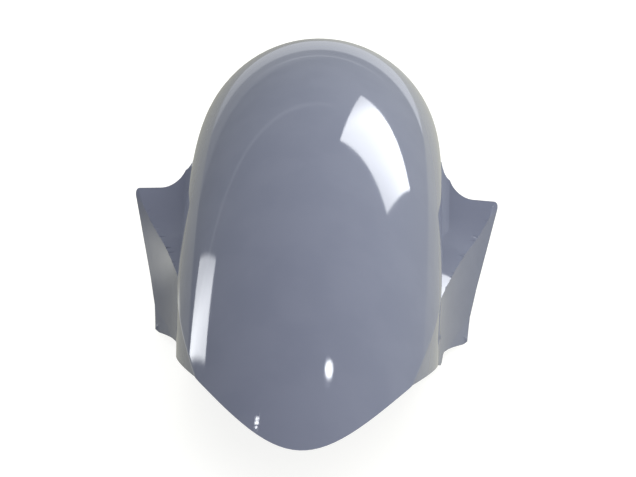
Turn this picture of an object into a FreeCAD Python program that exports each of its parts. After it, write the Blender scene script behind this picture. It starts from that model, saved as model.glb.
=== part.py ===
import FreeCAD, Part
import Sketcher
import math
import os

# Front mudguard fairing of a sport motorcycle, one glass-fibre moulding of constant wall.
# It is drawn about the wheel axle, X across, Y to the rear, Z up, and set down at the end.

SIZES = [
    # Arch over the wheel
    ("crown_radius", 325.0),
    ("arch_radius", 75.5),
    ("wall", 2.2),
    ("rest_height", 148.0),
    ("front_angle", 62.0),
    ("tail_angle", 55.0),
    ("tail_edge_radius", 258.0),
    ("side_edge_back", 30.0),
    # Nose and cheeks
    ("nose_reach", 273.0),
    ("nose_height", 31.6),
    ("nose_trim_radius", 109.0),
    ("cheek_reach", 217.0),
    ("cheek_height", 53.5),
    ("cheek_radius", 304.0),
    ("cheek_end", 120.0),
    ("crease_radius", 5.0),
    # Side skirts
    ("skirt_half_width", 74.9),
    ("skirt_edge_radius", 650.0),
    ("heel_reach", 4.5),
    ("heel_height", 1.5),
    ("step_reach", 34.5),
    ("step_height", 8.0),
    ("toe_reach", 7.3),
    ("corner_radius", 3.0),
    # Wings ahead of the fork legs
    ("flare_start", 100.0),
    ("flare_sink", 1.5),
    ("wing_half_span", 111.0),
    ("wing_half_span_low", 110.3),
    ("wing_tip_back", 15.0),
    ("wing_tip_height", 85.0),
    ("ramp_front", 62.0),
    ("ramp_height", 58.5),
    ("ramp_radius", 125.0),
    ("curl_angle", 49.5),
    ("gutter_radius", 9.0),
    ("gutter_sink", 0.1),
    ("ridge_radius", 4.5),
    # Room for the fork legs
    ("fork_rake", 18.5),
    ("fork_front", 18.5),
    ("fork_height", 92.0),
    ("notch_radius", 21.0),
    # What each tool runs past the moulding
    ("overrun", 20.0),
    ("overrun_angle", 4.0),
]

doc = FreeCAD.newDocument("mudguard_fairing")
sheet = doc.addObject("Spreadsheet::Sheet", "Sizes")
for row, (name, value) in enumerate(SIZES, start=1):
    sheet.set("A%d" % row, name)
    sheet.set("B%d" % row, str(value))
    sheet.setAlias("B%d" % row, name)
doc.recompute()


class Size:
    """A length or an angle: its present value, and the expression that binds it to the sheet."""

    def __init__(self, value, text):
        self.value = value
        self.text = text

    def joined(self, sign, other, result):
        other_text = other.text if isinstance(other, Size) else repr(float(other))
        return Size(result, "(%s %s %s)" % (self.text, sign, other_text))

    def __add__(self, other):
        return self.joined("+", other, self.value + number(other))

    def __sub__(self, other):
        return self.joined("-", other, self.value - number(other))

    def __mul__(self, other):
        return self.joined("*", other, self.value * number(other))

    def __truediv__(self, other):
        return self.joined("/", other, self.value / number(other))

    def __neg__(self):
        return Size(-self.value, "(0 - %s)" % self.text)


def number(item):
    return item.value if isinstance(item, Size) else float(item)


def size(name):
    return Size(float(sheet.get(name)), "Sizes.%s" % name)


def root(item):
    return Size(math.sqrt(item.value), "sqrt(%s)" % item.text)


def sine(angle):
    return Size(math.sin(math.radians(angle.value)), "sin(%s * 1deg)" % angle.text)


def cosine(angle):
    return Size(math.cos(math.radians(angle.value)), "cos(%s * 1deg)" % angle.text)


def tangent(angle):
    return Size(math.tan(math.radians(angle.value)), "tan(%s * 1deg)" % angle.text)


def bind(item, field, length):
    item.setExpression(field, length.text)


crown_radius = size("crown_radius")
arch_radius = size("arch_radius")
wall = size("wall")
rest_height = size("rest_height")
front_angle = size("front_angle")
tail_angle = size("tail_angle")
tail_edge_radius = size("tail_edge_radius")
side_edge_back = size("side_edge_back")
nose_reach = size("nose_reach")
nose_height = size("nose_height")
nose_trim_radius = size("nose_trim_radius")
cheek_reach = size("cheek_reach")
cheek_height = size("cheek_height")
cheek_radius = size("cheek_radius")
cheek_end = size("cheek_end")
crease_radius = size("crease_radius")
skirt_half_width = size("skirt_half_width")
skirt_edge_radius = size("skirt_edge_radius")
heel_reach = size("heel_reach")
heel_height = size("heel_height")
step_reach = size("step_reach")
step_height = size("step_height")
toe_reach = size("toe_reach")
corner_radius = size("corner_radius")
flare_start = size("flare_start")
flare_sink = size("flare_sink")
wing_half_span = size("wing_half_span")
wing_half_span_low = size("wing_half_span_low")
wing_tip_back = size("wing_tip_back")
wing_tip_height = size("wing_tip_height")
ramp_front = size("ramp_front")
ramp_height = size("ramp_height")
ramp_radius = size("ramp_radius")
curl_angle = size("curl_angle")
gutter_radius = size("gutter_radius")
gutter_sink = size("gutter_sink")
ridge_radius = size("ridge_radius")
fork_rake = size("fork_rake")
fork_front = size("fork_front")
fork_height = size("fork_height")
notch_radius = size("notch_radius")
overrun = size("overrun")
overrun_angle = size("overrun_angle")
NOTHING = Size(0.0, "0")

# Sketches stand in the side plane (Y across, Z up), the cross plane (X, Z) or the plan (X, Y).
SIDE = FreeCAD.Rotation(FreeCAD.Vector(1, 1, 1), 120)
CROSS = FreeCAD.Rotation(FreeCAD.Vector(1, 0, 0), 90)
PLAN = FreeCAD.Rotation()
ACROSS = FreeCAD.Vector(1, 0, 0)
FORWARD = FreeCAD.Vector(0, -1, 0)
UP = FreeCAD.Vector(0, 0, 1)
WHOLE, START, END, CENTRE = range(4)
ORIGIN = (-1, START)
RIGHT_ANGLE = 90
SEEN_AS_ONE = 0.05


def pin(sketch, place, length, kind):
    """Hold a sketch point at its distance from the origin along one axis, bound to the sheet."""
    if length.value < 0:
        ends = place + ORIGIN
        length = -length
    else:
        ends = ORIGIN + place
    spot = sketch.addConstraint(Sketcher.Constraint(kind, *ends, length.value))
    bind(sketch, "Constraints[%d]" % spot, length)


def vector(point):
    return FreeCAD.Vector(point[0].value, point[1].value, 0)


def outline(name, rotation, points, arcs, dome=None):
    """Closed outline through points. arcs maps an edge to its radius, which turns left, or right
    if it is negative. dome is the edge that is a half circle standing on its two ends."""
    sketch = doc.addObject("Sketcher::SketchObject", name)
    sketch.Placement = FreeCAD.Placement(FreeCAD.Vector(), rotation)
    count = len(points)
    for place in range(count):
        first = vector(points[place])
        last = vector(points[(place + 1) % count])
        if place in arcs:
            sketch.addGeometry(arc_between(first, last, arcs[place].value))
        elif place == dome:
            sketch.addGeometry(arc_between(first, last, (last - first).Length / 2))
        else:
            sketch.addGeometry(Part.LineSegment(first, last))
    for place in range(count):
        following = (place + 1) % count
        head = START if turns_right(arcs, place) else END
        tail = END if turns_right(arcs, following) else START
        sketch.addConstraint(Sketcher.Constraint("Coincident", place, head, following, tail))
        pin(sketch, (following, tail), points[following][0], "DistanceX")
        pin(sketch, (following, tail), points[following][1], "DistanceY")
    for place, radius in arcs.items():
        spot = sketch.addConstraint(Sketcher.Constraint("Radius", place, abs(radius.value)))
        bind(sketch, "Constraints[%d]" % spot, radius if radius.value > 0 else -radius)
    if dome is not None:
        pin(sketch, (dome, CENTRE), points[dome][1], "DistanceY")
    return sketch


def turns_right(arcs, place):
    return place in arcs and arcs[place].value < 0


def arc_between(first, last, radius):
    """Arc from first to last, turning left for a positive radius and right for a negative one."""
    chord = last - first
    reach = math.sqrt(radius ** 2 - (chord.Length / 2) ** 2)
    left = FreeCAD.Vector(-chord.y, chord.x, 0).normalize()
    side = math.copysign(1, radius)
    centre = (first + last) * 0.5 + left * reach * side
    ends = [math.atan2((spot - centre).y, (spot - centre).x) for spot in (first, last)]
    if side < 0:
        ends.reverse()
    return Part.ArcOfCircle(Part.Circle(centre, UP, abs(radius)), *ends)


def added(kind, name, **fields):
    item = doc.addObject(kind, name)
    for field, value in fields.items():
        setattr(item, field, value)
    return item


def check(item):
    doc.recompute()
    if "Invalid" in item.State or "Error" in item.State:
        raise RuntimeError("%s did not rebuild: %s" % (item.Label, item.State))
    if item.Shape.isNull() or not item.Shape.isValid():
        raise RuntimeError("%s has no valid shape" % item.Label)
    return item


def middle(edge):
    return edge.valueAt((edge.FirstParameter + edge.LastParameter) / 2)


def rounded(name, base, chosen, radius):
    """Fillet of the edges whose middle point passes the test."""
    edges = [place for place, edge in enumerate(base.Shape.Edges, start=1) if chosen(middle(edge))]
    item = added("Part::Fillet", name, Base=base)
    item.Edges = [(place, number(radius), number(radius)) for place in edges]
    return check(item)


def crown(name, inset, spare, spare_angle):
    """Arch of revolution about the axle: a half-round crown on two straight legs."""
    half = arch_radius - inset
    spring = crown_radius - arch_radius
    foot = rest_height - overrun - spare
    points = [(-half, foot), (half, foot), (half, spring), (-half, spring)]
    section = outline(name + "_section", CROSS, points, {}, dome=2)
    bind(section, "Placement.Rotation.Angle", -(tail_angle + spare_angle) + RIGHT_ANGLE)
    turned = added("Part::Revolution", name, Source=section, Axis=ACROSS, Solid=True)
    bind(turned, "Angle", front_angle + tail_angle + spare_angle * 2)
    return check(turned)


def plan_prism(name, levels, inset, right):
    """Upright block between two levels, over a plan outline given by its right half at each level."""
    sketches = []
    for place, level in enumerate(levels, start=1):
        points, arcs = right(level, inset)
        left = [(-across, along) for across, along in reversed(points)]
        last = 2 * len(points) - 2
        mirrored = {last - edge: radius for edge, radius in arcs.items()}
        drawn = outline("%s_plan_%d" % (name, place), PLAN, points + left, {**arcs, **mirrored})
        bind(drawn, "Placement.Base.z", level)
        sketches.append(drawn)
    return check(added("Part::Loft", name, Sections=sketches, Solid=True, Ruled=True))


def cheek_plan(level, inset):
    """The skirts run straight beside the wheel, and the cheeks close in towards the nose on one arc."""
    radius = cheek_radius - inset
    turn = wall + cheek_radius - skirt_half_width
    run = root(radius * radius - turn * turn)
    skirt = skirt_half_width - inset
    points = [(wall, -(cheek_end + run)), (skirt, -cheek_end), (skirt, crown_radius)]
    return points, {0: radius}


def flank_plan(level, inset):
    """The flanks leave the skirts at a slight angle and flare on one arc to the wing tips."""
    spread = (level - rest_height) / wing_tip_height
    tip = wing_half_span_low + (wing_half_span - wing_half_span_low) * spread
    start = skirt_half_width - flare_sink
    run = flare_start + wing_tip_back
    flare = tip - start
    radius = (flare * flare + run * run) / (flare * 2)
    bent = radius + inset
    past = run + overrun
    end = start + radius - root(bent * bent - past * past)
    return [(start - inset, -flare_start), (end, wing_tip_back + overrun)], {0: -bent}


def wing_block(name, inset, spare):
    """Block under the wings, with a rounded gutter along the arch: level in front, curled up behind."""
    level = rest_height + ramp_height - inset
    corner = gutter_radius + inset
    side = skirt_half_width - inset - gutter_sink
    reach = wing_half_span + overrun * 2
    foot = rest_height - overrun * 2 - spare
    points = [
        (-reach, foot),
        (reach, foot),
        (reach, level),
        (side + corner, level),
        (side, level + corner),
        (-side, level + corner),
        (-side - corner, level),
        (-reach, level),
    ]
    section = outline(name + "_section", CROSS, points, {3: -corner, 5: -corner})
    bind(section, "Placement.Base.y", -ramp_front)
    front = added("Part::Extrusion", name + "_level", Base=section, DirMode="Custom", Dir=FORWARD, Solid=True)
    bind(front, "LengthFwd", flare_start)
    curl = added("Part::Revolution", name + "_curl", Source=section, Axis=ACROSS, Solid=True)
    bind(curl, "Base.y", -ramp_front)
    bind(curl, "Base.z", rest_height + ramp_height + ramp_radius)
    bind(curl, "Angle", curl_angle)
    return check(added("Part::Fuse", name, Base=check(front), Tool=check(curl)))


def wing_top(along, inset):
    """Height of the wing's top at a distance behind the axle."""
    radius = number(ramp_radius + inset)
    run = max(along + number(ramp_front), 0)
    return number(rest_height + ramp_height - inset) + radius - math.sqrt(radius ** 2 - run ** 2)


def arch_form(label, inset, spare, spare_angle):
    """The crown between the cheeks and skirts."""
    arch = crown(label + "_crown", inset, spare, spare_angle)
    levels = (rest_height - overrun - spare, crown_radius + overrun + spare)
    cheeks = plan_prism(label + "_cheeks", levels, inset, cheek_plan)
    return check(added("Part::Common", label + "_arch", Base=arch, Tool=cheeks))


def wing_form(label, inset, spare):
    """Both wings between their flanks, with a rounded ridge from the skirt to each tip."""
    block = wing_block(label + "_wings", inset, spare)
    levels = (rest_height - overrun - spare, rest_height + wing_tip_height + overrun + spare)
    flanks = plan_prism(label + "_flanks", levels, inset, flank_plan)
    wings = check(added("Part::Common", label + "_flared", Base=block, Tool=flanks))
    wing_root = number(skirt_half_width + gutter_radius) + SEEN_AS_ONE

    def on_ridge(spot):
        on_top = abs(spot.z - wing_top(spot.y, inset)) < SEEN_AS_ONE
        return on_top and abs(spot.x) > wing_root and spot.y < number(wing_tip_back)

    return rounded(label + "_ridge", wings, on_ridge, ridge_radius - inset)


def on_crease(spot):
    """Edges where the crown meets the cheeks and skirts."""
    on_side = abs(spot.x) > number(arch_radius) / 2 and abs(spot.y) < number(cheek_reach)
    return on_side and math.hypot(spot.y, spot.z) > number(crown_radius - arch_radius)


def edge_trim():
    """All that lies below the free edge in side view: nose, cheek, heel, toe, fork opening and tail."""
    floor = rest_height - overrun * 2
    beyond = crown_radius + overrun
    edge_top = root(tail_edge_radius * tail_edge_radius - side_edge_back * side_edge_back)
    slope_foot = side_edge_back - (edge_top - rest_height) * tangent(fork_rake)
    past_tail = tail_angle + overrun_angle
    toe = (slope_foot - toe_reach, rest_height)
    step = (toe[0] - step_reach, rest_height + step_height)
    heel = (step[0] - heel_reach, rest_height + heel_height)
    points = [
        (-beyond, floor),
        (tail_edge_radius * sine(past_tail), floor),
        (tail_edge_radius * sine(past_tail), tail_edge_radius * cosine(past_tail)),
        (side_edge_back, edge_top),
        (slope_foot, rest_height),
        toe,
        step,
        heel,
        (-cheek_reach, rest_height + cheek_height),
        (-nose_reach, rest_height + nose_height),
        (-nose_reach, crown_radius),
        (-beyond, crown_radius),
    ]
    arcs = {2: tail_edge_radius, 7: skirt_edge_radius, 8: nose_trim_radius}
    profile = outline("edge_trim_profile", SIDE, points, arcs)
    tool = added("Part::Extrusion", "edge_trim", Base=profile, DirMode="Normal", Solid=True, Symmetric=True)
    bind(tool, "LengthFwd", (wing_half_span + overrun) * 2)
    corners = [FreeCAD.Vector(0, along.value, up.value) for along, up in (heel, step, toe)]

    def at_corner(spot):
        return any((spot - corner).Length < SEEN_AS_ONE for corner in corners)

    return rounded("edge_trim_corners", check(tool), at_corner, corner_radius)


def fork_room(name, side):
    """Room for one fork leg, raked like the leg: a round inner corner and all the space outboard of it."""
    leg = added("Part::Cylinder", name + "_corner")
    space = added("Part::Box", name + "_space")
    drop = fork_height + overrun
    corner = skirt_half_width + notch_radius
    inner_face = corner if side > 0 else -(corner * 2)
    front = fork_front - drop * tangent(fork_rake)
    back = front + notch_radius / cosine(fork_rake)
    bind(leg, "Radius", notch_radius)
    bind(space, "Length", corner)
    bind(space, "Width", corner)
    for item, across, along in ((leg, corner * side, back), (space, inner_face, front)):
        bind(item, "Height", drop * 2)
        item.Placement.Rotation = FreeCAD.Rotation(-ACROSS, fork_rake.value)
        bind(item, "Placement.Rotation.Angle", fork_rake)
        bind(item, "Placement.Base.x", across)
        bind(item, "Placement.Base.y", along)
        bind(item, "Placement.Base.z", rest_height - overrun)
    return check(added("Part::Fuse", name, Base=check(leg), Tool=check(space)))


outer_arch = rounded("outer_crease", arch_form("outer", NOTHING, NOTHING, NOTHING), on_crease, crease_radius)
inner_arch = arch_form("inner", wall, overrun, overrun_angle)
outer = check(added("Part::Fuse", "outer_form", Base=outer_arch, Tool=wing_form("outer", NOTHING, NOTHING)))
inner = check(added("Part::Fuse", "inner_form", Base=inner_arch, Tool=wing_form("inner", wall, overrun)))
blank = check(added("Part::Cut", "blank", Base=outer, Tool=inner))
trimmed = check(added("Part::Cut", "trimmed", Base=blank, Tool=edge_trim()))
left_open = check(added("Part::Cut", "left_open", Base=trimmed, Tool=fork_room("left_fork_room", -1)))
shell = check(added("Part::Cut", "mudguard_shell", Base=left_open, Tool=fork_room("right_fork_room", 1)))

# Set the moulding down: its lowest corners on the ground, the middle of its length over the origin.
box = shell.Shape.optimalBoundingBox()
shell.Placement.Base = FreeCAD.Vector(0, -box.Center.y, -box.ZMin)
check(shell)
if len(shell.Shape.Solids) != 1:
    raise RuntimeError("the moulding is not in one piece")
for item in doc.Objects:
    if "Invalid" in item.State or "Error" in item.State:
        raise RuntimeError("%s did not rebuild: %s" % (item.Label, item.State))

os.makedirs("parts", exist_ok=True)
shell.Shape.exportStep("parts/%s.step" % shell.Label)
print(shell.Label, shell.Shape.optimalBoundingBox(), round(shell.Shape.Volume))
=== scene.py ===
import math

import bmesh
import bpy
from mathutils import Matrix, Vector
from mathutils.bvhtree import BVHTree


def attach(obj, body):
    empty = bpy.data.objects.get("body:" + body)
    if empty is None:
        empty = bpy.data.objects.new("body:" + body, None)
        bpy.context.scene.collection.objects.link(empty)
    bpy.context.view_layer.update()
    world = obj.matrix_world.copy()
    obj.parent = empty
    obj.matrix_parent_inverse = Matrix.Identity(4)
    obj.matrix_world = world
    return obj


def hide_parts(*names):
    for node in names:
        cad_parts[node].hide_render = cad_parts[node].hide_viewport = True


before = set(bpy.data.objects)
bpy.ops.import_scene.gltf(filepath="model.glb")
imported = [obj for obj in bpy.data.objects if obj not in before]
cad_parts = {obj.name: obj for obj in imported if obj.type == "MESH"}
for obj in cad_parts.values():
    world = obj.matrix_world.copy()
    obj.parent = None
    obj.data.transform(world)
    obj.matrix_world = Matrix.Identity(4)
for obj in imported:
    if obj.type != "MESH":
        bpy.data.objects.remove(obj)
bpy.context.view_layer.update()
scene = bpy.context.scene

# Lengths are in metres. In the wings' sizes, along is y from the wheel axle, to the rear, across is
# the distance from the moulding's middle, and a height is z from the ground unless it says more.

# The moulding's own sizes, as the solid has them
AXLE_Y = 0.001285
REST_HEIGHT = 0.148
CROWN_RADIUS = 0.325
ARCH_RADIUS = 0.0755
WALL = 0.0022
SKIRT_HALF_WIDTH = 0.0749
CHEEK_RADIUS = 0.304
CHEEK_END = 0.120
FLARE_START = 0.100
FLARE_SINK = 0.0015
WING_HALF_SPAN = 0.1110
WING_HALF_SPAN_LOW = 0.1103
WING_TIP_BACK = 0.015
WING_TIP_HEIGHT = 0.085
RAMP_FRONT = 0.062
RAMP_HEIGHT = 0.0585
RAMP_RADIUS = 0.125
GUTTER_RADIUS = 0.009
GUTTER_SINK = 0.0001
RIDGE_RADIUS = 0.0045

# Heights above the axle
RAMP_LEVEL = REST_HEIGHT + RAMP_HEIGHT
CURL_HEIGHT = RAMP_LEVEL + RAMP_RADIUS

# The wing's top, shaped further than the solid: its fall, and where its edges turn crisp
SHAPED_BACK = 0.030
RIDGE_SOFT = 0.014
RIDGE_CRISP = 0.008
RIDGE_WELD = 0.0006
GUTTER_SOFT = -0.002
GUTTER_CRISP = -0.014
OUTWARD_BACK = 0.018
OUTWARD_FRONT = -0.014
OUTWARD_FALL = 0.34
OUTWARD_LEAST = 0.05
FORWARD_FALL = 0.18
FORWARD_BACK = -0.014
FLANK_DEPTH = 0.040

# The flank's foot: a fold that kicks out below it, and a rounded rear corner
LIP_FRONT = -0.048
LIP_BACK = -0.006
LIP_LOW = 0.002
LIP_RISE = 0.0146
LIP_KICK = 0.12
FOOT_INSET = 0.001
FOOT_LIFT = 0.0020
FOOT_LIFT_RUN = 0.02
FOOT_TOP = 0.030
FOOT_BACK = -0.0116
FOOT_RAKE = 0.3346
FOOT_RADIUS = 0.0065

# Cuts that make the wings' mesh fine enough for that
SLICE_FRONT = -0.080
SLICE_PITCH = 0.003
SLICES = 34
CROSS_START = 0.0004
CROSS_PITCH = 0.002
CROSS_SLICES = 18
FOOT_PITCH = 0.0015
FOOT_SLICES = 8
CUT_REACH = 1.2
CUT_MARGIN = 0.9
CUT_CEILING = 0.1

# How the solid's mesh becomes one smooth skin
WELD = 0.000002
JUST_OUTSIDE = 0.00005
FOLD_ANGLE = math.radians(28)
ON_SURFACE = 0.00003
SAME_SIDE = 0.96
TOO_TURNED = 0.97
SLOPE_STEP = 0.0001
TOP_INSET = 0.0002
TOP_LEAST = 0.030
THROUGH_WALL = 0.0034
INTO_WALL = 0.1
MIDDLE_PULL = 1.5
OPPOSITE = -0.8

# Camera, as the photograph was taken: from ahead of the nose and a little above
AIM = Vector((0.003158, -0.08185, 0.089748))
AZIMUTH = math.radians(0.861)
ELEVATION = math.radians(18.602)
ROLL = math.radians(1.983)
DISTANCE = 1.64854
LENS = 160.85
SENSOR = 36.0


def view_axes():
    """The camera's right, up and backward directions."""
    back = Vector(
        (
            math.sin(AZIMUTH) * math.cos(ELEVATION),
            -math.cos(AZIMUTH) * math.cos(ELEVATION),
            math.sin(ELEVATION),
        )
    )
    right = Vector((math.cos(AZIMUTH), math.sin(AZIMUTH), 0.0))
    up = back.cross(right)
    rolled_right = right * math.cos(ROLL) + up * math.sin(ROLL)
    rolled_up = up * math.cos(ROLL) - right * math.sin(ROLL)
    return rolled_right, rolled_up, back


def add_camera():
    right, up, back = view_axes()
    data = bpy.data.cameras.new("photo_camera")
    data.lens = LENS
    data.sensor_width = SENSOR
    camera = bpy.data.objects.new("photo_camera", data)
    turn = Matrix((right, up, back)).transposed().to_4x4()
    camera.matrix_world = Matrix.Translation(AIM + back * DISTANCE) @ turn
    scene.collection.objects.link(camera)
    scene.camera = camera


# ---------------------------------------------------------------- the mould's surfaces


def fade(value, low, high):
    """0 below low, 1 above high, smooth between. low may be the larger one."""
    share = min(max((value - low) / (high - low), 0.0), 1.0)
    return share * share * (3.0 - 2.0 * share)


def wing_level(along, height):
    """Height of a point above the wing's own level, which curls up behind, and the way up there."""
    if along < -RAMP_FRONT:
        return height, 0.0, 1.0
    from_curl = math.hypot(along + RAMP_FRONT, height - CURL_HEIGHT)
    lean_back = -(along + RAMP_FRONT) / from_curl
    return CURL_HEIGHT - from_curl, lean_back, (CURL_HEIGHT - height) / from_curl


def flank_arc(height):
    """Centre, out from the middle of the moulding, and radius of the flank's flare at a height."""
    spread = (height - REST_HEIGHT) / WING_TIP_HEIGHT
    tip = WING_HALF_SPAN_LOW + (WING_HALF_SPAN - WING_HALF_SPAN_LOW) * spread
    start = SKIRT_HALF_WIDTH - FLARE_SINK
    run = FLARE_START + WING_TIP_BACK
    radius = ((tip - start) ** 2 + run**2) / (2.0 * (tip - start))
    return start + radius, radius


def outward_slope(along):
    """How steeply the wing's top falls outward, by the place along it."""
    return OUTWARD_LEAST + (OUTWARD_FALL - OUTWARD_LEAST) * fade(along, OUTWARD_BACK, OUTWARD_FRONT)


def top_drop(along, across):
    """How far the wing's shaped top lies below the solid's."""
    drop = outward_slope(along) * max(across - SKIRT_HALF_WIDTH, 0.0)
    return drop + FORWARD_FALL * max(FORWARD_BACK - along, 0.0)


def fallen_top(spot):
    """Outward direction of a wing's shaped top at a point."""
    side = math.copysign(1.0, spot.x)
    along = spot.y - AXLE_Y
    lean_back, lean_up = wing_level(along, spot.z + REST_HEIGHT)[1:]
    change = (outward_slope(along + SLOPE_STEP) - outward_slope(along - SLOPE_STEP)) / (2.0 * SLOPE_STEP)
    drop_along = change * (abs(spot.x) - SKIRT_HALF_WIDTH)
    if along < FORWARD_BACK:
        drop_along -= FORWARD_FALL
    return Vector((side * outward_slope(along), lean_back / lean_up + drop_along, 1.0)).normalized()


def surface_directions(spot, inset):
    """Outward directions of the mould's plain surfaces that pass through a point of one skin."""
    side = math.copysign(1.0, spot.x)
    across = abs(spot.x)
    along = spot.y - AXLE_Y
    height = spot.z + REST_HEIGHT
    found = []

    def passes(miss, out, back, up):
        if abs(miss) < ON_SURFACE:
            found.append(Vector((out * side, back, up)).normalized())

    # crown: a half-round arch turned about the axle
    reach = math.hypot(along, height)
    rise = reach - (CROWN_RADIUS - ARCH_RADIUS)
    passes(
        math.hypot(across, rise) - (ARCH_RADIUS - inset),
        across,
        rise * along / reach,
        rise * height / reach,
    )

    # skirts beside the wheel, and cheeks that close in towards the nose
    passes(across - (SKIRT_HALF_WIDTH - inset), 1.0, 0.0, 0.0)
    cheek_out = across - (SKIRT_HALF_WIDTH - CHEEK_RADIUS)
    cheek_back = along + CHEEK_END
    if cheek_back < 0.0:
        passes(math.hypot(cheek_out, cheek_back) - (CHEEK_RADIUS - inset), cheek_out, cheek_back, 0.0)

    # wing top, with the rounded gutter beside the arch
    level, lean_back, lean_up = wing_level(along, height)
    passes(level - (RAMP_LEVEL - inset), 0.0, lean_back, lean_up)
    gutter_out = SKIRT_HALF_WIDTH - GUTTER_SINK + GUTTER_RADIUS - across
    gutter_up = RAMP_LEVEL + GUTTER_RADIUS - level
    passes(
        math.hypot(gutter_out, gutter_up) - (GUTTER_RADIUS + inset),
        gutter_out,
        gutter_up * lean_back,
        gutter_up * lean_up,
    )

    # flanks, flaring to the wing tips
    centre, radius = flank_arc(height)
    flank_out = centre - across
    flank_back = -(FLARE_START + along)
    passes(math.hypot(flank_out, flank_back) - (radius + inset), flank_out, flank_back, 0.0)
    return found


# ---------------------------------------------------------------- shell


def inner_faces(form):
    """Faces of the inner skin: going into the wall from them, the far side is one wall away."""
    tree = BVHTree.FromBMesh(form)
    found = set()
    for face in form.faces:
        start = face.calc_center_median() - face.normal * (WALL * INTO_WALL)
        hit, far_normal = tree.ray_cast(start, -face.normal, THROUGH_WALL)[:2]
        if hit is None:
            continue
        axle = Vector((start.x, AXLE_Y, -REST_HEIGHT))
        inward = Vector((-start.x * MIDDLE_PULL, 0.0, 0.0)) + (axle - start)
        if face.normal.dot(inward) > 0.0 and far_normal.dot(face.normal) < OPPOSITE:
            found.add(face.index)
    return found


def wing_faces(form, side):
    """Faces of one wing, outboard of the skirt."""
    limit = SKIRT_HALF_WIDTH - WALL * CUT_REACH
    return [
        face
        for face in form.faces
        if max(vertex.co.x * side for vertex in face.verts) > limit
        and min(vertex.co.x * side for vertex in face.verts) > limit * CUT_MARGIN
        and face.calc_center_median().z < CUT_CEILING
    ]


def wing_cuts():
    """The planes that cut the wings finer, as a point and a direction each."""
    fold_way = Vector((0.0, -LIP_RISE, LIP_BACK - LIP_FRONT)).normalized()
    cuts = [(Vector((0.0, AXLE_Y + LIP_FRONT, LIP_LOW)), fold_way)]
    for step in range(SLICES):
        along = AXLE_Y + SLICE_FRONT + step * SLICE_PITCH
        cuts.append((Vector((0.0, along, 0.0)), Vector((0.0, 1.0, 0.0))))
    for side in (-1.0, 1.0):
        for step in range(CROSS_SLICES):
            across = side * (SKIRT_HALF_WIDTH + CROSS_START + step * CROSS_PITCH)
            cuts.append((Vector((across, 0.0, 0.0)), Vector((1.0, 0.0, 0.0))))
    for step in range(1, FOOT_SLICES):
        cuts.append((Vector((0.0, 0.0, step * FOOT_PITCH)), Vector((0.0, 0.0, 1.0))))
        along = AXLE_Y + FOOT_BACK - step * FOOT_PITCH
        cuts.append((Vector((0.0, along, 0.0)), Vector((0.0, 1.0, -FOOT_RAKE)).normalized()))
    return cuts


def slice_wings(form):
    """Extra edges across the wings, where they are shaped further than the solid."""
    for side in (-1.0, 1.0):
        for point, way in wing_cuts():
            if point.x * side < 0.0:
                continue
            faces = wing_faces(form, side)
            edges = {edge for face in faces for edge in face.edges}
            corners = {vertex for face in faces for vertex in face.verts}
            bmesh.ops.bisect_plane(
                form, geom=faces + list(edges) + list(corners), plane_co=point, plane_no=way, dist=WELD
            )
    bmesh.ops.triangulate(form, faces=[face for face in form.faces if len(face.verts) > 3])


def near_top(rise):
    """How much of the top's drop a point takes, by its height above the wing's level."""
    return fade(rise, -FLANK_DEPTH, -RIDGE_RADIUS - WALL) * fade(rise, GUTTER_RADIUS, 0.0)


def lower_inner_top(vertex, along, across):
    """The inner skin follows the wing's top down, and stays behind the crisp gutter."""
    outboard = fade(across, SKIRT_HALF_WIDTH - WALL, SKIRT_HALF_WIDTH)
    rise = wing_level(along, vertex.co.z + REST_HEIGHT)[0] - RAMP_LEVEL
    in_gutter = across < SKIRT_HALF_WIDTH + GUTTER_RADIUS and -WALL + WELD < rise < GUTTER_RADIUS - WELD
    if in_gutter and along < 0.0:
        crisp = fade(along, 0.0, GUTTER_CRISP)
        vertex.co.z -= (rise + WALL) * crisp
        rise -= (rise + WALL) * crisp
        outboard = outboard + (1.0 - outboard) * crisp
    vertex.co.z -= top_drop(along, across) * near_top(rise) * outboard
    return outboard > 0.0


def lower_outer_top(vertex, along, across, on_ridge):
    """The wing's top falls, and its ridge and gutter lose their rounding in front."""
    if across <= SKIRT_HALF_WIDTH + JUST_OUTSIDE:
        return False
    height = vertex.co.z + REST_HEIGHT
    rise = wing_level(along, height)[0] - RAMP_LEVEL
    share = near_top(rise)
    centre, radius = flank_arc(height)
    short = centre - math.sqrt(radius**2 - (along + FLARE_START) ** 2) - across
    if -RIDGE_RADIUS < rise < -WELD and 0.0 < short < RIDGE_RADIUS:
        sharp = fade(along, RIDGE_SOFT, RIDGE_CRISP)
        vertex.co.z -= rise * sharp
        vertex.co.x += math.copysign(short * sharp, vertex.co.x)
        if sharp == 1.0:
            on_ridge.append(vertex)
    elif 0.0 < rise < GUTTER_RADIUS:
        crisp = fade(along, GUTTER_SOFT, GUTTER_CRISP)
        vertex.co.z -= rise * crisp
        share = share + (1.0 - share) * crisp
    vertex.co.z -= top_drop(along, across) * share
    return True


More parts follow.
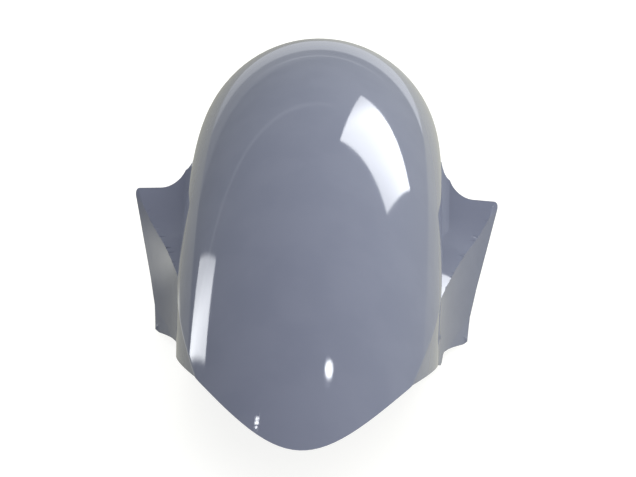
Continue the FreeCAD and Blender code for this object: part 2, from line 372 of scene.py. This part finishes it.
def shape_foot(vertex, along):
    """The flank's foot kicks out below its fold, has a rounded rear corner, and is lifted a little."""
    fold = LIP_LOW + LIP_RISE * (along - LIP_FRONT) / (LIP_BACK - LIP_FRONT)
    if vertex.co.z < fold:
        vertex.co.x += math.copysign(LIP_KICK * (fold - vertex.co.z), vertex.co.x)
    ahead = FOOT_BACK + FOOT_RAKE * vertex.co.z - along
    from_edge = FOOT_RADIUS - ahead
    from_foot = FOOT_RADIUS - vertex.co.z
    if from_edge > 0.0 and from_foot > 0.0:
        pull = max(from_edge, from_foot) / math.hypot(from_edge, from_foot)
        vertex.co.z = FOOT_RADIUS - from_foot * pull
        vertex.co.y -= from_edge * (1.0 - pull)
    lift = fade(along, LIP_FRONT - FOOT_LIFT_RUN, LIP_FRONT + FOOT_LIFT_RUN)
    vertex.co.z += FOOT_LIFT * fade(vertex.co.z, FOOT_TOP, 0.0) * lift


def shape_wings(form, inside):
    """The wings' last shaping, which the solid keeps plainer."""
    inner = {vertex for face in form.faces if face.index in inside for vertex in face.verts}
    on_ridge = []
    for vertex in form.verts:
        across = abs(vertex.co.x)
        along = vertex.co.y - AXLE_Y
        if along > SHAPED_BACK or along < -FLARE_START:
            continue
        if vertex in inner:
            on_wing = lower_inner_top(vertex, along, across)
        else:
            on_wing = lower_outer_top(vertex, along, across, on_ridge)
        if on_wing and across > SKIRT_HALF_WIDTH + FOOT_INSET and vertex.co.z < FOOT_TOP:
            shape_foot(vertex, along)
    bmesh.ops.remove_doubles(form, verts=on_ridge, dist=RIDGE_WELD)
    bmesh.ops.dissolve_degenerate(form, edges=form.edges, dist=WELD)


def smooth_directions(mesh):
    """Shading that follows the mould's true surfaces, so that reflections run clean over the facets."""
    true_at = []
    for vertex in mesh.vertices:
        outer = surface_directions(vertex.co, 0.0)
        inner = [-way for way in surface_directions(vertex.co, WALL)]
        along = vertex.co.y - AXLE_Y
        on_wing = abs(vertex.co.x) > SKIRT_HALF_WIDTH + TOP_INSET and vertex.co.z > TOP_LEAST
        if on_wing and -FLARE_START < along < SHAPED_BACK:
            outer.append(fallen_top(vertex.co))
        true_at.append(outer + inner)
    directions = []
    corners = mesh.corner_normals
    for face in mesh.polygons:
        for place in face.loop_indices:
            faced = corners[place].vector.copy()
            if faced.dot(face.normal) < TOO_TURNED:
                faced = face.normal.copy()
            best = max(true_at[mesh.loops[place].vertex_index], key=faced.dot, default=None)
            directions.append(best if best is not None and faced.dot(best) > SAME_SIDE else faced)
    mesh.normals_split_custom_set(directions)


def moulded_shell(node, gelcoat, laminate):
    """The dressed moulding: the solid's mesh, welded and shaded smooth, its inner skin left as laid up."""
    form = bmesh.new()
    form.from_mesh(node.data)
    bmesh.ops.remove_doubles(form, verts=form.verts, dist=WELD)
    bmesh.ops.dissolve_degenerate(form, edges=form.edges, dist=WELD)
    slice_wings(form)
    form.normal_update()
    form.faces.ensure_lookup_table()
    form.faces.index_update()
    inside = inner_faces(form)
    for face in form.faces:
        face.smooth = True
        face.material_index = 1 if face.index in inside else 0
    shape_wings(form, inside)
    form.normal_update()
    mesh = bpy.data.meshes.new("mudguard_moulding")
    form.to_mesh(mesh)
    form.free()
    mesh.materials.append(gelcoat)
    mesh.materials.append(laminate)
    mesh.set_sharp_from_angle(angle=FOLD_ANGLE)
    smooth_directions(mesh)
    piece = bpy.data.objects.new("mudguard_moulding", mesh)
    scene.collection.objects.link(piece)
    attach(piece, "root")
    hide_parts("mudguard_shell")


# ---------------------------------------------------------------- finishes


class NodeBench:
    """Short calls for wiring one node tree."""

    def __init__(self, tree):
        self.tree = tree

    def node(self, kind, **settings):
        made = self.tree.nodes.new(kind)
        for name, value in settings.items():
            setattr(made, name, value)
        return made

    def link(self, source, target):
        self.tree.links.new(source, target)

    def fill(self, socket, value):
        if isinstance(value, bpy.types.NodeSocket):
            self.link(value, socket)
        else:
            socket.default_value = value

    def maths(self, operation, first, second=0.0):
        made = self.node("ShaderNodeMath", operation=operation)
        self.fill(made.inputs[0], first)
        self.fill(made.inputs[1], second)
        return made.outputs[0]

    def plus(self, first, second):
        return self.maths("ADD", first, second)

    def times(self, first, second):
        return self.maths("MULTIPLY", first, second)

    def dot(self, vector, way):
        made = self.node("ShaderNodeVectorMath", operation="DOT_PRODUCT")
        self.link(vector, made.inputs[0])
        made.inputs[1].default_value = way
        return made.outputs["Value"]

    def ramp(self, value, low, high, at_low=0.0, at_high=1.0):
        made = self.node("ShaderNodeMapRange", interpolation_type="SMOOTHSTEP")
        self.link(value, made.inputs["Value"])
        made.inputs["From Min"].default_value = low
        made.inputs["From Max"].default_value = high
        made.inputs["To Min"].default_value = at_low
        made.inputs["To Max"].default_value = at_high
        return made.outputs["Result"]

    def blend(self, amount, first, second):
        made = self.node("ShaderNodeMix", data_type="RGBA")
        self.fill(made.inputs["Factor"], amount)
        self.fill(made.inputs["A"], first)
        self.fill(made.inputs["B"], second)
        return made.outputs["Result"]

    def noise(self, vector, scale, detail, roughness=0.5):
        made = self.node("ShaderNodeTexNoise")
        self.link(vector, made.inputs["Vector"])
        made.inputs["Scale"].default_value = scale
        made.inputs["Detail"].default_value = detail
        made.inputs["Roughness"].default_value = roughness
        return made.outputs["Fac"]

    def bump(self, height, distance, strength=1.0, normal=None):
        made = self.node("ShaderNodeBump")
        self.link(height, made.inputs["Height"])
        made.inputs["Distance"].default_value = distance
        made.inputs["Strength"].default_value = strength
        if normal is not None:
            self.link(normal, made.inputs["Normal"])
        return made.outputs["Normal"]

    def glowing(self, kind, colour, strength):
        """A Background or Emission shader."""
        made = self.node(kind)
        made.inputs["Color"].default_value = colour
        self.fill(made.inputs["Strength"], strength)
        return made.outputs[0]

    def both(self, first, second):
        made = self.node("ShaderNodeAddShader")
        self.link(first, made.inputs[0])
        self.link(second, made.inputs[1])
        return made.outputs["Shader"]

    def by_ray(self, ray, otherwise, for_ray):
        """One shader for the rays that Light Path names, and another for the rest."""
        made = self.node("ShaderNodeMixShader")
        self.link(self.node("ShaderNodeLightPath").outputs[ray], made.inputs["Fac"])
        self.link(otherwise, made.inputs[1])
        self.link(for_ray, made.inputs[2])
        return made.outputs["Shader"]


# Noises by scale, detail and roughness, bumps by depth in metres and strength. A ramp is where it
# starts and where it ends, and then the values there if they aren't 0 and 1.
GELCOAT_IOR = 1.5
GELCOAT_COLOUR = (0.195, 0.212, 0.292, 1.0)
GELCOAT_DEEP = (0.185, 0.202, 0.281, 1.0)
MOTTLE = (38.0, 3.0)
MOTTLE_RAMP = (0.35, 0.65)
HAZE = (24.0, 4.0, 0.6)
HAZE_TO_ROUGHNESS = (0.3, 0.75, 0.035, 0.075)
WAVES = (42.0, 1.0)
WAVE_DEPTH = 0.000012
PEEL = (420.0, 1.0)
PEEL_DEPTH = 0.0000012

RESIN_COLOUR = (0.075, 0.08, 0.085, 1.0)
STRAND_COLOUR = (0.16, 0.17, 0.17, 1.0)
STRAND_LAYERS = (((0.3, 0.9, 0.2), 9.0), ((1.2, 0.1, 0.9), 11.0), ((0.7, 1.9, 1.4), 8.0))
STRANDS = (75.0, 2.0)
STRAND_RAMP = (0.52, 0.62)
STRAND_TO_ROUGHNESS = (0.0, 1.0, 0.35, 0.6)
STRAND_BUMP = (0.0002, 0.7)
LUMPS = (110.0, 3.0)
LUMP_BUMP = (0.0005, 0.6)


def new_material(name):
    """A Principled material, its bench, its shader and its place on the piece."""
    material = bpy.data.materials.new(name)
    material.use_nodes = True
    bench = NodeBench(material.node_tree)
    place = bench.node("ShaderNodeTexCoord").outputs["Object"]
    return material, bench, material.node_tree.nodes["Principled BSDF"], place


def gelcoat_material():
    """Glossy blue-grey gelcoat: slow print-through of the laminate, fine orange peel, faint haze."""
    material, bench, shader, place = new_material("gelcoat")
    shader.inputs["IOR"].default_value = GELCOAT_IOR

    mottle = bench.ramp(bench.noise(place, *MOTTLE), *MOTTLE_RAMP)
    bench.link(bench.blend(mottle, GELCOAT_DEEP, GELCOAT_COLOUR), shader.inputs["Base Color"])
    bench.link(bench.ramp(bench.noise(place, *HAZE), *HAZE_TO_ROUGHNESS), shader.inputs["Roughness"])

    waves = bench.bump(bench.noise(place, *WAVES), WAVE_DEPTH)
    peel = bench.bump(bench.noise(place, *PEEL), PEEL_DEPTH, normal=waves)
    bench.link(peel, shader.inputs["Normal"])
    return material


def laminate_material():
    """The inside as laid up: chopped glass strands showing through thin grey resin."""
    material, bench, shader, place = new_material("raw_laminate")
    strands = None
    for turn, stretch in STRAND_LAYERS:
        mapping = bench.node("ShaderNodeMapping")
        bench.link(place, mapping.inputs["Vector"])
        mapping.inputs["Rotation"].default_value = turn
        mapping.inputs["Scale"].default_value = (1.0, stretch, stretch)
        line = bench.ramp(bench.noise(mapping.outputs["Vector"], *STRANDS), *STRAND_RAMP)
        strands = line if strands is None else bench.maths("MAXIMUM", strands, line)
    bench.link(bench.blend(strands, RESIN_COLOUR, STRAND_COLOUR), shader.inputs["Base Color"])
    bench.link(bench.ramp(strands, *STRAND_TO_ROUGHNESS), shader.inputs["Roughness"])
    lumps = bench.bump(bench.noise(place, *LUMPS), *LUMP_BUMP)
    bench.link(bench.bump(strands, *STRAND_BUMP, normal=lumps), shader.inputs["Normal"])
    return material


# ---------------------------------------------------------------- studio

WHITE = (1.0, 1.0, 1.0, 1.0)
SIDEWAYS = (1.0, 0.0, 0.0)
BACKWARD = (0.0, 1.0, 0.0)
UPWARD = (0.0, 0.0, 1.0)

# Soft light on the moulding: even, with more from the right, and warmer from behind
EVEN_LIGHT = 0.95
EVEN_TO_RIGHT = 0.62
EVEN_TO_TOP = 0.1
BEHIND_LIGHT = 0.62
BEHIND_WAY = (0.25, 0.93, -0.46)
BEHIND_COLOUR = (0.97, 1.0, 0.68, 1.0)

# What the gloss mirrors. Angles are in degrees from the line of sight, panels by their corners.
# A ramp of light is where it starts and where it ends, and then the brightness there.
GLOSS_COLOUR = (0.95, 0.97, 1.0, 1.0)
ROOM_LIGHT = (-0.9, 0.9, 0.08, 0.40)
BACKDROP_ANGLES = (28.5, 27.0)
BACKDROP_LIGHT = (-0.35, 0.45, 0.28, 0.74)
FRINGE_ANGLES = (37.0, 35.5)
FRINGE_LIGHT = 0.14
FRINGE_SIDE = (0.1, -0.2)
SOFTBOX = ((0.264, 0.837, 0.480), (0.638, 0.730, 0.246), (0.670, 0.484, 0.563), (0.208, 0.576, 0.790))
SOFTBOX_BLUR = 0.006
SOFTBOX_DOWN = (0.746, -0.649, 0.153)
SOFTBOX_LIGHT = (-0.27, -0.12, 3.2, 8.5)
SOFTBOX_FOOT = (0.04, 0.27, 1.0, 0.8)
WINDOW = ((-0.732, 0.675, 0.095), (-0.800, 0.490, 0.347), (-0.920, 0.306, 0.243), (-0.824, 0.567, 0.002))
WINDOW_BLUR = 0.01
WINDOW_DOWN = (-0.494, -0.757, -0.428)
WINDOW_LIGHT = (-0.17, 0.0, 3.5, 9.0)
LAMP_LIGHT = 30.0
LAMP_EDGE = (1.3, 0.7)
ROUND_LAMP = ((0.327, -0.408, 0.853), (0.936, 0.282, -0.218), 0.055, 0.034)
DOTS_LONG = (0.79, -0.49, 0.36)
DOTS = (
    ((-0.5867, -0.4553, 0.6697), DOTS_LONG, 0.033, 0.0055),
    ((-0.5936, -0.4632, 0.6581), DOTS_LONG, 0.033, 0.0055),
    ((-0.5958, -0.4749, 0.6476), DOTS_LONG, 0.022, 0.0040),
)
RING = (33.4, 0.005, 0.3)
RING_MIDDLE = (0.35, 0.1)
ARC = (61.0, 0.013, 0.28)
ARC_SIDE = (0.25, 0.0)
HOOP_OUTSIDE = 1.6
HOOP_INSIDE = 0.4

# The floor, and the pool of light painted on it beside the left flank, seen only in the gloss, by where
# the pool starts and ends
FLOOR_HALF = 3.0
FLOOR_COLOUR = (0.30, 0.30, 0.295, 1.0)
FLOOR_GLOW = 0.82
FLOOR_GLOW_IN_GLOSS_COLOUR = (1.0, 1.0, 0.9, 1.0)
FLOOR_GLOW_IN_GLOSS = (-0.15, 0.15, 0.38, 0.56)
LIGHT_POOL_NEAR = (-0.14, -0.20, 0.0, 0.75)
LIGHT_POOL_FAR = (-0.32, -0.22)
LIGHT_POOL_BACK = (0.14, 0.09)


def panel(bench, way, corners, softness):
    """1 on a four-sided panel in the room, given by the directions of its corners, and 0 around it."""
    shape = None
    middle = sum((Vector(corner) for corner in corners), Vector())
    for place, corner in enumerate(corners):
        edge = Vector(corner).cross(Vector(corners[(place + 1) % len(corners)])).normalized()
        if edge.dot(middle) < 0.0:
            edge.negate()
        inside = bench.ramp(bench.dot(way, edge), -softness, softness)
        shape = inside if shape is None else bench.times(shape, inside)
    return shape


def oval_lamp(bench, way, towards, long_way, half_length, half_width):
    """A small oval lamp, by its direction, the way it is long, and its half sizes in radians."""
    towards = Vector(towards).normalized()
    long_way = (Vector(long_way) - towards * towards.dot(Vector(long_way))).normalized()
    wide_way = towards.cross(long_way)
    lengthwise = bench.maths("DIVIDE", bench.dot(way, long_way), half_length)
    crosswise = bench.maths("DIVIDE", bench.dot(way, wide_way), half_width)
    spread = bench.plus(bench.maths("POWER", lengthwise, 2.0), bench.maths("POWER", crosswise, 2.0))
    inside = bench.ramp(spread, *LAMP_EDGE)
    facing = bench.maths("GREATER_THAN", bench.dot(way, towards), 0.0)
    return bench.times(bench.times(inside, facing), LAMP_LIGHT)


def hoop(bench, turned, angle, half_width, brightness):
    """A thin bright circle about the line of sight, by its angle."""
    middle = math.cos(math.radians(angle))
    outer = bench.ramp(turned, middle - half_width * HOOP_OUTSIDE, middle - half_width * HOOP_INSIDE)
    inner = bench.ramp(turned, middle + half_width * HOOP_OUTSIDE, middle + half_width * HOOP_INSIDE)
    return bench.times(bench.times(outer, inner), brightness)


def disc(bench, turned, angles, brightness):
    """A bright disc about the line of sight, fading from the inner to the outer angle."""
    outer, inner = (math.cos(math.radians(angle)) for angle in angles)
    return bench.ramp(turned, outer, inner, 0.0, brightness)


def mirrored_room(bench, way, sideways):
    """What the gloss mirrors: a dim room, the pale backdrop behind and the lit panels."""
    turned = bench.dot(way, -view_axes()[2])
    backdrop = disc(bench, turned, BACKDROP_ANGLES, 1.0)
    backdrop = bench.times(backdrop, bench.ramp(sideways, *BACKDROP_LIGHT))
    mirrored = bench.plus(bench.ramp(sideways, *ROOM_LIGHT), backdrop)

    fringe = disc(bench, turned, FRINGE_ANGLES, FRINGE_LIGHT)
    fringe = bench.times(fringe, bench.ramp(sideways, *FRINGE_SIDE))

    from_top = bench.dot(way, SOFTBOX_DOWN)
    softbox = panel(bench, way, SOFTBOX, SOFTBOX_BLUR)
    softbox = bench.times(softbox, bench.ramp(from_top, *SOFTBOX_LIGHT))
    softbox = bench.times(softbox, bench.ramp(from_top, *SOFTBOX_FOOT))

    window = panel(bench, way, WINDOW, WINDOW_BLUR)
    window = bench.times(window, bench.ramp(bench.dot(way, WINDOW_DOWN), *WINDOW_LIGHT))

    near_middle = bench.ramp(bench.maths("ABSOLUTE", sideways), *RING_MIDDLE)
    ring = bench.times(hoop(bench, turned, *RING), near_middle)
    arc = bench.times(hoop(bench, turned, *ARC), bench.ramp(sideways, *ARC_SIDE))

    lit = [fringe, softbox, window, oval_lamp(bench, way, *ROUND_LAMP), ring, arc]
    lit += [oval_lamp(bench, way, *dot) for dot in DOTS]
    for shining in lit:
        mirrored = bench.plus(mirrored, shining)
    return mirrored


def studio_world():
    """White to the camera; soft light, brighter on the right, on the moulding; a lit room in its gloss."""
    world = bpy.data.worlds.new("studio")
    world.use_nodes = True
    world.node_tree.nodes.clear()
    bench = NodeBench(world.node_tree)
    way = bench.node("ShaderNodeTexCoord").outputs["Generated"]
    sideways = bench.dot(way, SIDEWAYS)

    even = bench.plus(bench.times(sideways, EVEN_TO_RIGHT), EVEN_LIGHT)
    even = bench.plus(even, bench.times(bench.dot(way, UPWARD), EVEN_TO_TOP))
    behind = bench.maths("MAXIMUM", bench.plus(bench.dot(way, BEHIND_WAY), BEHIND_LIGHT), 0.0)
    light = bench.both(
        bench.glowing("ShaderNodeBackground", WHITE, even),
        bench.glowing("ShaderNodeBackground", BEHIND_COLOUR, behind),
    )
    gloss = bench.glowing("ShaderNodeBackground", GLOSS_COLOUR, mirrored_room(bench, way, sideways))
    seen = bench.glowing("ShaderNodeBackground", WHITE, 1.0)
    shown = bench.by_ray("Is Camera Ray", bench.by_ray("Is Glossy Ray", light, gloss), seen)
    bench.link(shown, bench.node("ShaderNodeOutputWorld").inputs["Surface"])
    scene.world = world


def floor_material():
    """Pale floor: white to the camera but for the soft shadow; in the gloss it glows warm white, painted
    light for the moulding's reflections.
    """
    material = bpy.data.materials.new("pale_floor")
    material.use_nodes = True
    material.node_tree.nodes.clear()
    bench = NodeBench(material.node_tree)
    shade = bench.node("ShaderNodeBsdfDiffuse")
    shade.inputs["Color"].default_value = FLOOR_COLOUR
    lit = shade.outputs["BSDF"]
    seen = bench.both(lit, bench.glowing("ShaderNodeEmission", WHITE, FLOOR_GLOW))

    # in the gloss the floor glows, a painted reflection: brighter on the right, and in a painted pool of
    # light beside the left flank
    place = bench.node("ShaderNodeTexCoord").outputs["Object"]
    across = bench.dot(place, SIDEWAYS)
    painted_pool = bench.times(bench.ramp(across, *LIGHT_POOL_NEAR), bench.ramp(across, *LIGHT_POOL_FAR))
    painted_pool = bench.times(painted_pool, bench.ramp(bench.dot(place, BACKWARD), *LIGHT_POOL_BACK))
    strength = bench.plus(bench.ramp(across, *FLOOR_GLOW_IN_GLOSS), painted_pool)
    # painted light: the floor's glow that only the gloss sees
    mirrored = bench.glowing("ShaderNodeEmission", FLOOR_GLOW_IN_GLOSS_COLOUR, strength)

    shown = bench.by_ray("Is Glossy Ray", bench.by_ray("Is Camera Ray", lit, seen), mirrored)
    bench.link(shown, bench.node("ShaderNodeOutputMaterial").inputs["Surface"])
    return material


def add_floor():
    form = bmesh.new()
    bmesh.ops.create_grid(form, x_segments=1, y_segments=1, size=FLOOR_HALF)
    mesh = bpy.data.meshes.new("floor")
    form.to_mesh(mesh)
    form.free()
    mesh.materials.append(floor_material())
    floor = bpy.data.objects.new("floor", mesh)
    scene.collection.objects.link(floor)


add_camera()
studio_world()
add_floor()
moulded_shell(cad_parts["mudguard_shell"], gelcoat_material(), laminate_material())

scene.view_settings.view_transform = "Standard"
